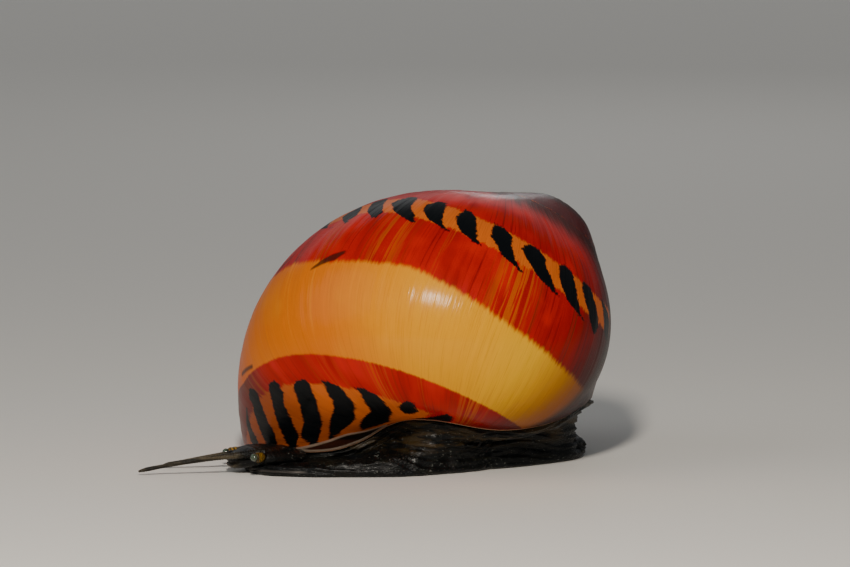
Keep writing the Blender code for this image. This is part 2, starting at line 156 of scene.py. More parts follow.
# Shell.
# A thick aragonite shell, laid down at the lip line by line and wound to the right, under a clear horny skin that
# shines like lacquer. Red above and below a broad yellow band, with a row of black flames on orange beside each.
GROWTH_PER_RADIAN = 0.12934
SECTION_OFFSET = 2.197
SECTION_DEPTH = 11.602
SECTION_RADIUS = 9.110
SECTION_WAVES = ((2, -0.0318, -0.1642), (3, -0.0093, 0.0381))
APEX = np.array((9.938, -1.627, 14.929))
AXIS_HEADING, AXIS_RISE, SPIN_ABOUT_AXIS = (math.radians(a) for a in (13.2, 45.9, 30.4))
CLOSING = (1.5, 3.5)
JOIN = 0.4
WORN = 0.8
WORN_EDGE = 0.3
FURTHEST = 8.0
TURNS = 4
CENTRE = np.array((0.0, -1.0, 5.0))
RAY_LENGTH = 30.0
RIM_HEIGHT = {0: 3.1, 25: 2.4, 90: 1.5, 140: 0.75, 157: 0.6, 185: 0.98, 207: 1.2, 220: 1.75, 237: 2.8,
              258: 3.3, 291: 2.57, 318: 2.9, 342: 3.45}
SHELL_AROUND = 560
SHELL_LEVELS = 160
# The lip's inside, from its edge: how far in from the outer face, and how far up from the rim
LIP_PROFILE = ((0.05, -0.03), (0.13, -0.05), (0.24, -0.03), (0.34, 0.05), (0.5, 0.35), (0.7, 0.8), (0.9, 1.4))
RECESS_TOP = 4.2

# Marks, each in rows up the section: turn in radians at its middle, angle round the section, half width in mm
UPPER_MARKS = (
    ((-0.30, 0.09, 0.24), (-0.26, 0.16, 0.73), (-0.22, 0.23, 0.60), (-0.19, 0.30, 0.23)),
    ((-0.48, 0.17, 0.26), (-0.45, 0.21, 0.60), (-0.37, 0.30, 0.57), (-0.29, 0.39, 0.57), (-0.28, 0.43, 0.42)),
    ((-0.71, 0.22, 0.53), (-0.66, 0.26, 0.74), (-0.54, 0.36, 0.73), (-0.51, 0.46, 0.53), (-0.51, 0.50, 0.38)),
    ((-0.91, 0.26, 0.35), (-0.82, 0.35, 0.63), (-0.77, 0.44, 0.59), (-0.76, 0.52, 0.33)),
    ((-1.15, 0.27, 0.43), (-1.08, 0.35, 0.64), (-1.03, 0.44, 0.55), (-1.00, 0.53, 0.36)),
    ((-1.47, 0.25, 0.43), (-1.38, 0.34, 0.52), (-1.33, 0.39, 0.61), (-1.28, 0.53, 0.54)),
    ((-1.78, 0.26, 0.52), (-1.69, 0.34, 0.73), (-1.59, 0.43, 0.77), (-1.57, 0.52, 0.59)),
    ((-2.07, 0.24, 0.51), (-1.96, 0.37, 0.67), (-1.89, 0.50, 0.57), (-1.88, 0.56, 0.48)),
    ((-2.36, 0.22, 0.20), (-2.34, 0.28, 0.55), (-2.26, 0.39, 0.66), (-2.17, 0.50, 0.54), (-2.15, 0.56, 0.48)),
    ((-2.62, 0.30, 0.40), (-2.58, 0.44, 0.60), (-2.50, 0.56, 0.45)),
)
LOWER_MARKS = (
    ((0.49, -1.16, 0.25), (0.47, -1.09, 0.36), (0.41, -1.03, 0.22)),
    ((0.29, -1.25, 0.38), (0.27, -1.21, 0.52), (0.21, -1.12, 0.51), (0.16, -1.04, 0.46), (0.17, -0.99, 0.41)),
    ((0.09, -1.35, 0.44), (-0.01, -1.25, 0.48), (-0.08, -1.15, 0.44), (-0.13, -1.10, 0.49), (-0.13, -1.05, 0.45)),
    ((-0.13, -1.42, 0.34), (-0.21, -1.36, 0.72), (-0.33, -1.31, 0.51), (-0.42, -1.20, 0.51), (-0.43, -1.09, 0.54)),
    ((-0.49, -1.45, 0.42), (-0.63, -1.40, 0.63), (-0.79, -1.28, 0.51), (-0.80, -1.23, 0.50), (-0.74, -1.11, 0.39)),
    ((-1.01, -1.50, 0.60), (-1.10, -1.41, 0.56), (-1.21, -1.32, 0.46), (-1.16, -1.23, 0.53), (-1.08, -1.14, 0.42)),
    ((-1.51, -1.25, 0.28), (-1.50, -1.22, 0.49), (-1.49, -1.16, 0.26)),
    ((-1.71, -1.39, 0.12), (-1.79, -1.35, 0.26), (-1.88, -1.32, 0.43), (-1.94, -1.24, 0.46), (-1.93, -1.16, 0.31)),
)
# A mark closes over this angle round the section beyond its first and last row
MARK_END = 0.025
# Old wounds of the lip, healed dark, each a chain of stations as above: a nick, a bruise and a thin scar
SCARS = (
    ((-0.40, -0.37, 0.05), (-0.45, -0.32, 0.17), (-0.52, -0.27, 0.25), (-0.56, -0.23, 0.11)),
    ((0.01, -0.33, 0.10), (0.00, -0.26, 0.22), (-0.05, -0.22, 0.10)),
    ((0.27, -0.83, 0.10), (0.07, -0.87, 0.08)),
)
# Edges of the yellow band and the middle of the flames' orange band: turn in radians, angle round the section
YELLOW_TOP = ((-2.48, -0.274), (-2.16, -0.271), (-1.94, -0.258), (-1.67, -0.252), (-1.44, -0.227), (-1.23, -0.214),
              (-1.03, -0.201), (-0.78, -0.261), (-0.51, -0.312), (-0.18, -0.309), (0.16, -0.331))
YELLOW_BOTTOM = ((-2.17, -0.870), (-1.68, -0.886), (-1.39, -0.895), (-0.81, -0.911), (-0.06, -0.905),
                 (0.26, -0.886), (0.56, -0.816))
FLAME_LINE = ((-2.56, 0.46), (-2.2, 0.43), (-1.62, 0.42), (-1.06, 0.40), (-0.57, 0.37), (-0.36, 0.31),
              (-0.2, 0.22), (0.4, 0.16))
FLAME_HALF = 0.135
FLAME_PITCH = 0.28
FLAME_LEAN = 0.2
LOWER_PITCH = 0.34
LOWER_GROUND = -1.075
# Clusters of thin orange streaks in the red: where along the growth, how wide, how strong
STREAK_CLUSTERS = ((-0.76, 0.13, 0.65), (-1.62, 0.17, 0.95), (-1.12, 0.05, 0.5), (-0.3, 0.2, 0.4), (-2.2, 0.12, 0.3),
                   (0.5, 0.2, 0.8), (1.2, 0.2, 0.6), (-3.1, 0.2, 0.9), (-3.9, 0.25, 0.8), (-4.7, 0.2, 1.0))
STREAK_TOP = 0.55
# Turn angles between which the dark glaze thickens before the newest turn's end, and where it fades after it
GLAZE_BEGINS = 2.3
GLAZE_FADES = -2.53
# Width of the crescent of newest growth along the lip, painted nearly black as shadow, in mm, by compass degrees
RIM_LINE = 0.06
CRESCENT = {0: 0.0, 90: 0.0, 180: 0.0, 190: 0.1, 198: 0.3, 208: 0.65, 218: 0.85, 228: 0.5, 238: 0.15, 250: 0.0, 300: 0.0}


def growth_line(s):
    """How far a growth line runs ahead of the turn angle, at each angle round the section."""
    return 0.22 * s + 0.5 / 3 * s**3 + 0.1 / 7 * s**7


def smooth_step(x):
    x = np.clip(x, 0.0, 1.0)
    return x * x * (3.0 - 2.0 * x)


def compass(table, angle):
    """A periodic table of degrees and values, read at each angle along cubic curves through its values."""
    keys = np.array(sorted(table), float)
    values = np.array([table[int(key)] for key in keys], float)
    keys = np.concatenate([keys[-2:] - 360.0, keys, keys[:2] + 360.0])
    values = np.concatenate([values[-2:], values, values[:2]])
    degrees = np.degrees(angle) % 360.0
    i = np.clip(np.searchsorted(keys, degrees, side="right") - 1, 1, len(keys) - 3)
    span = keys[i + 1] - keys[i]
    u = (degrees - keys[i]) / span
    slope_a = (values[i + 1] - values[i - 1]) / (keys[i + 1] - keys[i - 1]) * span
    slope_b = (values[i + 2] - values[i]) / (keys[i + 2] - keys[i]) * span
    return ((2 * u**3 - 3 * u**2 + 1) * values[i] + (u**3 - 2 * u**2 + u) * slope_a
            + (3 * u**2 - 2 * u**3) * values[i + 1] + (u**3 - u**2) * slope_b)


def coil_axes():
    """Columns: the shell's own x, y and coiling axis. The axis is set by its heading and rise, then spun."""
    axis = Vector((math.cos(AXIS_RISE) * math.cos(AXIS_HEADING), math.cos(AXIS_RISE) * math.sin(AXIS_HEADING),
                   math.sin(AXIS_RISE)))
    level = Vector((0, 0, 1)).cross(axis).normalized()
    x = axis.cross(level) * math.cos(SPIN_ABOUT_AXIS) + level * math.sin(SPIN_ABOUT_AXIS)
    return np.array([x, axis.cross(x), axis]).T


def section_radius(s):
    """The section's radius about its centre: a circle with a second and a third wave round it."""
    return SECTION_RADIUS * (1 + sum(c * np.cos(n * s) + d * np.sin(n * s) for n, c, d in SECTION_WAVES))


def coil_place(points, axes):
    """For each point: its distance in mm outside the shell, and its outermost turn's angle, angle round the section
    and scale. A turn is the section scaled by the exponential of its turn angle. The turns join over a soft seam,
    as the log of a sum of exponentials of their distances, and the apex is worn to a soft flat in the same way."""
    local = (points - APEX) @ axes
    radius = np.hypot(local[..., 0], local[..., 1])
    start = CLOSING[1] - 2 * math.pi
    newest = np.mod(-np.arctan2(local[..., 1], local[..., 0]) - start, 2 * math.pi) + start
    sink = smooth_step((newest - CLOSING[0]) / (CLOSING[1] - CLOSING[0]))
    nearest = np.full((4, *radius.shape), np.inf)
    joined = np.zeros(radius.shape)
    for n in range(TURNS):
        angle = newest - 2 * math.pi * n
        scale = np.exp(GROWTH_PER_RADIAN * angle)
        share = 1.0
        if n == 0:
            scale = scale * (1 - sink) + np.exp(GROWTH_PER_RADIAN * (angle - 2 * math.pi)) * sink
            share = 1 - sink
        out = radius / scale - SECTION_OFFSET
        along = local[..., 2] / scale + SECTION_DEPTH
        s = np.arctan2(along, out)
        away = (np.hypot(out, along) - section_radius(s)) * scale
        joined += share * np.exp(-np.clip(away, -FURTHEST, FURTHEST) / JOIN)
        nearest = np.where(away < nearest[0], np.stack([away, angle, s, scale]), nearest)
    worn = (local[..., 2] + WORN) / WORN_EDGE
    nearest[0] = WORN_EDGE * np.logaddexp(-JOIN * np.log(joined) / WORN_EDGE, worn)
    return nearest


def reach(origins, directions, axes):
    """Distance along each ray to the shell's outermost crossing: a march inwards, then halving."""
    steps = np.linspace(0, RAY_LENGTH, 31)
    last = np.zeros(origins.shape[:-1], int)
    for i, step in enumerate(steps):
        last = np.where(coil_place(origins + directions * step, axes)[0] < 0, i, last)
    low = steps[last]
    high = low + RAY_LENGTH / 30
    for _ in range(18):
        middle = (low + high) / 2
        within = coil_place(origins + directions * middle[..., None], axes)[0] < 0
        low = np.where(within, middle, low)
        high = np.where(within, high, middle)
    return low


def level_radius(angle, height, axes):
    """The shell's radius round the centre's upright line, at a height that may differ for each angle."""
    origins = np.stack([np.full_like(angle, CENTRE[0]), np.full_like(angle, CENTRE[1]), height], -1)
    directions = np.stack([np.cos(angle), np.sin(angle), np.zeros_like(angle)], -1)
    return reach(origins, directions, axes)


def ring(angle, radius, height):
    """One closed ring of points round the centre's upright line, in mm."""
    return np.stack([CENTRE[0] + radius * np.cos(angle), CENTRE[1] + radius * np.sin(angle),
                     np.broadcast_to(height, angle.shape)], -1)


def grid_faces(rows, around):
    """Quads of a grid closed round its second axis."""
    i, j = np.meshgrid(np.arange(rows - 1), np.arange(around), indexing="ij")
    k = (j + 1) % around
    return np.stack([i * around + j, i * around + k, (i + 1) * around + k, (i + 1) * around + j], -1).reshape(-1, 4)


def closed_mesh(name, rings):
    """A mesh of closed rings, in mm, shut at both ends on the rings' middle points."""
    rows, around = rings.shape[:2]
    points = np.concatenate([rings.reshape(-1, 3), rings[0].mean(0)[None], rings[-1].mean(0)[None]]) * MM
    j = np.arange(around)
    k = (j + 1) % around
    first = np.stack([np.full(around, rows * around), k, j], -1)
    last = np.stack([np.full(around, rows * around + 1), (rows - 1) * around + j, (rows - 1) * around + k], -1)
    mesh = bpy.data.meshes.new(name)
    mesh.from_pydata(points.tolist(), [], grid_faces(rows, around).tolist() + first.tolist() + last.tolist())
    mesh.shade_smooth()
    obj = bpy.data.objects.new(name, mesh)
    bpy.context.scene.collection.objects.link(obj)
    return obj


def point_values(obj, name, values):
    """Stores one number for each point of the rings, and the last ring's mean on the two closing points."""
    flat = np.asarray(values, np.float32).reshape(-1)
    rest = len(obj.data.vertices) - len(flat)
    layer = obj.data.attributes.new(name, "FLOAT", "POINT")
    layer.data.foreach_set("value", np.concatenate([flat, np.full(rest, flat[-1], np.float32)]))


def chain_distance(turn, s, across, along, chain):
    """Distance in mm to a tapering chain of stations, below zero inside it: the least over its legs."""
    least = np.full(turn.shape, 9.0)
    for (turn_a, s_a, half_a), (turn_b, s_b, half_b) in zip(chain, chain[1:]):
        x, y = (turn - turn_a) * across, (s - s_a) * along
        leg_x, leg_y = (turn_b - turn_a) * across, (s_b - s_a) * along
        share = np.clip((x * leg_x + y * leg_y) / (leg_x**2 + leg_y**2), 0, 1)
        half = half_a + (half_b - half_a) * share
        least = np.minimum(least, np.hypot(x - share * leg_x, y - share * leg_y) - half)
    return least


def mark_distance(turn, s, across, along, rows):
    """Distance in mm to a mark, below zero inside it: sideways to its edge at the same angle round the section, or
    up or down to its nearer end, whichever is greater."""
    middle, at, half = np.array(rows).T
    middle = np.pad(middle, 1, "reflect", reflect_type="odd")
    at = np.concatenate([at[:1] - MARK_END, at, at[-1:] + MARK_END])
    half = np.concatenate([half[:1] / 2, half, half[-1:] / 2])
    sideways = np.abs(turn - np.interp(s, at, middle)) * across - np.interp(s, at, half)
    return np.maximum(sideways, np.maximum(at[0] - s, s - at[-1]) * along)


axes = coil_axes()
angle = np.linspace(0, 2 * math.pi, SHELL_AROUND, endpoint=False)
rim_height = compass(RIM_HEIGHT, angle)
rim_radius = level_radius(angle, rim_height, axes)
start = np.arctan2(rim_height - CENTRE[2], rim_radius)
level = np.linspace(0, 1, SHELL_LEVELS, endpoint=False)[:, None]
rise = start * (1 - level) + math.pi / 2 * level
directions = np.stack([np.cos(rise) * np.cos(angle), np.cos(rise) * np.sin(angle), np.sin(rise) + 0 * angle], -1)
origins = np.broadcast_to(CENTRE, directions.shape)
outer = origins + directions * reach(origins, directions, axes)[..., None]
_, turn, s, scale = coil_place(outer, axes)
grown = turn - growth_line(s)
# Behind, a dark glaze hides where the newest turn ends on the one before it: full at the end, thin beside it
before_end, after_end = (turn - GLAZE_BEGINS) / (CLOSING[1] - GLAZE_BEGINS), (GLAZE_FADES - turn) / 0.25
glaze = np.maximum(smooth_step(1.3 * before_end), smooth_step(after_end) * (turn > CLOSING[1] - 2 * math.pi - 0.01))
# Growth relief, always inwards: fine rests of the lip, a few deeper ones, as waves along the growth lines
dice = np.random.default_rng(7)
relief = np.zeros_like(grown)
for wave in range(26):
    pitch = dice.uniform(18, 120)
    relief += dice.uniform(0.2, 1.0) / (1 + pitch / 50) * np.sin(pitch * grown + dice.uniform(0, 2 * math.pi))
relief = np.clip(relief, -2, 2) * (1 - glaze)
outer = outer - directions * (0.012 + 0.006 * relief)[..., None]
inner = [ring(angle, rim_radius - inset, rim_height + lift) for inset, lift in LIP_PROFILE]
inner.append(ring(angle, rim_radius - 1.0, np.full_like(angle, RECESS_TOP) + 0.3 * rim_height))
rings = np.concatenate([np.array(inner[::-1]), outer])
shell = closed_mesh("shell_outer", rings)

across = (SECTION_OFFSET + section_radius(s) * np.cos(s)) * scale
along = section_radius(s) * scale
marks = np.full_like(turn, 9.0)
for rows in UPPER_MARKS + LOWER_MARKS:
    marks = np.minimum(marks, mark_distance(turn, s, across, along, rows))
flame_line = np.interp(turn, *np.array(FLAME_LINE).T)
# The rows go on round the hidden side and up the older turns, at the same pitch with seeded differences
places = [-0.2 + FLAME_PITCH * n for n in range(1, 14)] + [-3.1 - FLAME_PITCH * n for n in range(0, 60)]
for place in places:
    place += dice.uniform(-0.03, 0.03)
    line = float(np.interp(place, *np.array(FLAME_LINE).T))
    half = dice.uniform(0.5, 0.7) * math.exp(GROWTH_PER_RADIAN * place)
    rows = ((place - FLAME_LEAN, line - 0.15, 0.7 * half), (place - 0.4 * FLAME_LEAN, line - 0.04, half),
            (place, line + 0.12, 0.8 * half))
    marks = np.minimum(marks, mark_distance(turn, s, across, along, rows))
places = [0.78 + LOWER_PITCH * n for n in range(0, 8)] + [-3.2 - LOWER_PITCH * n for n in range(0, 12)]
for place in places:
    half = dice.uniform(0.42, 0.58)
    bow = dice.uniform(-0.12, 0.02)
    rows = ((place + 0.12, -1.4, half), (place + bow, -1.2, half), (place, -1.05, 0.9 * half))
    marks = np.minimum(marks, mark_distance(turn, s, across, along, rows))

# The band's upper edge is soft, so its distance counts for less there
top_edge = (np.interp(turn, *np.array(YELLOW_TOP).T) - s) * along
bottom_edge = (s - np.interp(turn, *np.array(YELLOW_BOTTOM).T)) * along
band = np.minimum(0.4 * top_edge, bottom_edge)
flames = (FLAME_HALF - np.abs(s - flame_line)) * along
lower_edge = LOWER_GROUND + 0.09 * np.clip(grown - 0.1, -1.2, 0.3)
ground = np.maximum(flames, np.minimum((lower_edge - s) * along, (turn + 1.75) * across))
older = np.minimum((LOWER_GROUND - s) * along, (-3.0 - turn) * across)
ground = np.maximum(ground, older)
streaks = sum(height * np.exp(-(((grown - at) / wide) ** 2)) for at, wide, height in STREAK_CLUSTERS)
streaks = streaks * smooth_step((STREAK_TOP - s) / 0.25)
scars = np.full_like(turn, 9.0)
for chain in SCARS:
    scars = np.minimum(scars, chain_distance(turn, s, across, along, chain))
steps = np.linalg.norm(np.diff(outer, axis=0), axis=2)
from_rim = np.concatenate([np.zeros((1, SHELL_AROUND)), np.cumsum(steps, 0)])
crescent_width = compass(CRESCENT, angle)
shadowed_new_growth = from_rim - crescent_width
# Distance from the crescent's two pale edges, which show only where it is wide
pale_lines = np.minimum(np.abs(shadowed_new_growth), from_rim - RIM_LINE) + 9.0 * (crescent_width < 0.2)
empty = np.zeros((len(inner), SHELL_AROUND))
for name, values, inside in (
        ("grown", grown, 0.0), ("section", s, 0.0), ("marks", marks, 9.0), ("band", band, -9.0),
        ("ground", ground, -9.0), ("streaks", streaks, 0.0), ("scars", scars, 9.0), ("turn", turn, 0.0),
        ("shadowed_new_growth", shadowed_new_growth, 9.0), ("pale_lines", pale_lines, 9.0), ("glaze", glaze, 0.0)):
    point_values(shell, name, np.concatenate([empty + inside, np.clip(values, -9, 9)]))
point_values(shell, "lining", np.concatenate([empty + 1.0, np.zeros_like(turn)]))

# Hard polished lime under a thin clear horny skin: one sharp glint broken by the growth lines, deep colour below it.
# Seen as if wet, so the lime itself reflects less than it does in air.
aragonite, tree, shader = new_material("aragonite_under_periostracum", 0.4, 1.53, Specular_IOR_Level=0.05,
                                       Coat_Weight=0.28, Coat_Roughness=0.16, Coat_IOR=1.5)
TIMES = {"operation": "MULTIPLY"}
TIMES_PLUS = {"operation": "MULTIPLY_ADD"}
EASED = {"interpolation_type": "SMOOTHSTEP"}
BLEND = {"data_type": "RGBA"}
stored = {name: add(tree, "ShaderNodeAttribute", {"attribute_name": name}, None, "Fac") for name in
          ("grown", "section", "marks", "band", "ground", "streaks", "scars", "shadowed_new_growth", "pale_lines",
           "turn", "glaze", "lining")}
# Noise drawn out along the growth lines: so many grains a radian of turn, and a radian of the section
GRAINS = {"fine": (50, 1.1, 3, 1.3), "broad": (11, 0.9, 2, 4.1), "ragged": (55, 30, 2, 8.7),
          "patchy": (3.0, 2.4, 2, 12.9), "threads": (150, 3, 2, 17.3)}
noise = {}
for name, (per_turn, per_section, detail, seed) in GRAINS.items():
    place = add(tree, "ShaderNodeCombineXYZ", None, {
        0: add(tree, "ShaderNodeMath", TIMES, {0: stored["grown"], 1: per_turn}),
        1: add(tree, "ShaderNodeMath", TIMES, {0: stored["section"], 1: per_section}), 2: seed})
    noise[name] = add(tree, "ShaderNodeTexNoise", None, {"Vector": place, "Scale": 1.0, "Detail": detail,
                                                         "Roughness": 0.6})


def coats(tree, paint, layers):
    """Lays coats over a base colour. Each coat: a value, where it begins, where it is full, its share, its colour."""
    for value, begins, full, most, laid in layers:
        share = add(tree, "ShaderNodeMapRange", EASED, {"Value": value, "From Min": begins, "From Max": full,
                                                        "To Max": most})
        laid = colour(laid) if isinstance(laid, str) else laid
        paint = add(tree, "ShaderNodeMix", BLEND, {0: share, 6: paint, 7: laid}, 2)
    return paint


# A streak needs both its cluster and a grain of the fine noise
streak = add(tree, "ShaderNodeMath", TIMES, {
    0: add(tree, "ShaderNodeMapRange", EASED, {"Value": noise["fine"], "From Min": 0.46, "From Max": 0.56}),
    1: stored["streaks"]})
# Painted shade along the suture: a dark brown strip near the top of the section, in the groove where the turns meet
suture_shade = add(tree, "ShaderNodeMath", TIMES_PLUS, {0: noise["broad"], 1: 0.3, 2: stored["section"]})
red = coats(tree, colour("#B30E04"), (
    (noise["broad"], 0.4, 0.7, 0.45, "#7E0904"),
    (noise["fine"], 0.52, 0.7, 0.6, "#520704"),
    (noise["patchy"], 0.45, 0.7, 0.6, "#D41802"),
    (streak, 0.1, 0.9, 0.85, "#C2560F"),
    # Painted shade: the red darkens towards the rear of the newest turn and over all older turns
    (stored["turn"], -1.9, -2.6, 0.9, "#340503"),
    (stored["grown"], 0.15, 0.6, 0.8, "#4A1808"),
    (suture_shade, 1.15, 1.45, 0.9, "#2A0F05"),
))
yellow = coats(tree, colour("#F2B408"), (
    (stored["grown"], -2.0, -1.3, 1.0, "#EAA000"),
    (stored["grown"], -1.3, -0.3, 1.0, "#DA7000"),
    (noise["threads"], 0.5, 0.75, 0.35, "#B85C00"),
    (noise["fine"], 0.52, 0.72, 0.14, "#FFB020"),
    (noise["patchy"], 0.5, 0.8, 0.2, "#F4AC10"),
    (stored["grown"], 0.25, 0.95, 1.0, "#C84404"),
    # Painted shade: the yellow darkens towards the rear of the newest turn and over all older turns
    (stored["turn"], -1.9, -2.6, 0.9, "#8A3A05"),
))
centred = add(tree, "ShaderNodeMath", {"operation": "SUBTRACT"}, {0: noise["fine"], 1: 0.5})
fringe = add(tree, "ShaderNodeMath", TIMES_PLUS, {0: centred, 1: 0.22, 2: stored["band"]})
rough_edge = add(tree, "ShaderNodeMath", {"operation": "SUBTRACT"}, {0: noise["ragged"], 1: 0.5})
laid_orange = add(tree, "ShaderNodeMath", TIMES_PLUS, {0: rough_edge, 1: 0.4, 2: stored["ground"]})
laid_orange = add(tree, "ShaderNodeMath", TIMES_PLUS, {0: centred, 1: 0.6, 2: laid_orange})
mark_edge = add(tree, "ShaderNodeMath", TIMES_PLUS, {0: rough_edge, 1: 0.45, 2: stored["marks"]})
orange = coats(tree, colour("#D2661A"), ((noise["threads"], 0.4, 0.75, 0.5, "#A9480A"),
                                        (stored["grown"], -0.1, 0.5, 0.7, "#7A3410")))
# The crescent of newest growth along the lip, painted nearly black as the shadow below the lip line
crescent = coats(tree, colour("#160C07"), ((noise["patchy"], 0.42, 0.6, 0.8, "#3A1C10"),
                                          (noise["threads"], 0.5, 0.7, 0.4, "#0A0A08")))
paint = coats(tree, red, (
    (fringe, -0.08, 0.08, 1.0, yellow),
    (laid_orange, -0.1, 0.12, 1.0, orange),
    (stored["scars"], 0.12, -0.06, 0.85, "#2A1006"),
    (mark_edge, 0.15, 0.02, 1.0, "#05080B"),
    (stored["glaze"], 0.0, 1.0, 0.97, "#2C0905"),
    (stored["shadowed_new_growth"], 0.02, -0.04, 1.0, crescent),
    (stored["pale_lines"], 0.12, 0.04, 0.75, "#9A8876"),
    (stored["lining"], 0.0, 1.0, 1.0, "#B89878"),
))
tree.links.new(paint, shader.inputs["Base Color"])
relief_height = add(tree, "ShaderNodeMath", TIMES_PLUS, {0: noise["threads"], 1: 0.5, 2: noise["fine"]})
bump = add(tree, "ShaderNodeBump", None, {"Height": relief_height, "Strength": 0.5, "Distance": 0.035 * MM})
tree.links.new(bump, shader.inputs["Normal"])
tree.links.new(bump, shader.inputs["Coat Normal"])
shell.data.materials.append(aragonite)
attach(shell, "root")
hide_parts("shell")

# Flesh.
# One wet black skin over the whole animal: the mantle's rolled edge under the lip, the folded flank, the foot with
# its thin spread margin and flat sole, the low head with its muzzle, the ringed feelers and the short eye stalks.
SKIN_AROUND = 600
SKIN_ROWS = 72
SOLE_RADIUS = {0: 10.3, 20: 9.1, 45: 7.5, 70: 6.7, 95: 6.5, 120: 6.9, 150: 8.2, 168: 9.4, 182: 10.6,
               196: 11.2, 210: 9.9, 225: 8.5, 246: 7.5, 270: 6.7, 295: 6.6, 318: 7.9, 340: 9.9}
# Compass degrees between which the rear is open for the operculum, and the degrees it takes to close beside them
REAR_OPEN = (-12.0, 47.0)
REAR_FADE = 9.0
FOLD_PITCH = 0.5
FOLD_DEPTH = 0.1
HEAD_BACK = np.array((-8.75, -2.75))
HEAD_LENGTH = 3.2
# Stations along the head: how far forward, half width, under side, top
HEAD_FORM = ((-1.2, 1.2, 0.5, 1.2), (-0.4, 1.55, 0.45, 1.38), (0.6, 1.76, 0.4, 1.48), (1.4, 1.78, 0.38, 1.52),
             (2.0, 1.55, 0.34, 1.47), (2.4, 1.12, 0.3, 1.34), (2.75, 0.88, 0.27, 1.22), (3.0, 0.72, 0.3, 1.08),
             (3.14, 0.48, 0.4, 0.92), (HEAD_LENGTH, 0.12, 0.58, 0.72))
MOUTH_HEIGHT = 0.6
FEELER_ROOT = (2.0, 1.3)
# The left (1) and the right (-1) feeler: height of the root, run along x and y, height of the tip, how it falls
FEELER_RUN = {1: (1.24, -6.5, 1.95, 0.27, 0.75), -1: (0.9, -4.25, 1.41, 0.26, 0.95)}
FEELER_WIDTHS = ((-0.08, 0.62), (0.03, 0.5), (0.2, 0.37), (0.45, 0.29), (0.8, 0.23), (0.97, 0.19), (1.0, 0.12))
FEELER_RINGS = 46
# Stations of the eye stalks in the head's frame: along, sideways, height of the left and of the right
STALK_ROUTE = ((1.5, 1.25, 1.02, 0.98), (2.05, 2.0, 1.12, 0.9), (2.42, 2.38, 1.2, 0.82))
EYE_PLACE = (2.5, 2.46, {1: 1.21, -1: 0.82})
EYE_RADIUS = 0.22


def stations(table, places):
    """Columns of a table of stations, read at each place along smooth curves through them."""
    table = np.array(table, float)
    at = table[:, 0]
    slopes = np.gradient(table[:, 1:], at, axis=0)
    i = np.clip(np.searchsorted(at, places, side="right") - 1, 0, len(at) - 2)
    span = (at[i + 1] - at[i])[:, None]
    u = ((places - at[i]) / (at[i + 1] - at[i]))[:, None]
    return ((2 * u**3 - 3 * u**2 + 1) * table[i, 1:] + (u**3 - 2 * u**2 + u) * span * slopes[i]
            + (3 * u**2 - 2 * u**3) * table[i + 1, 1:] + (u**3 - u**2) * span * slopes[i + 1])


def wander(angle, seed, waves=9, lowest=2):
    """A smooth closed curve of values round the compass, about -1 to 1: seeded waves of growing count."""
    draw = np.random.default_rng(seed)
    total = np.zeros_like(angle)
    for n in range(waves):
        count = lowest + n * 2
        total += np.sin(count * angle + draw.uniform(0, 2 * math.pi)) * draw.uniform(0.4, 1.0) / math.sqrt(n + 1)
    return total / 2


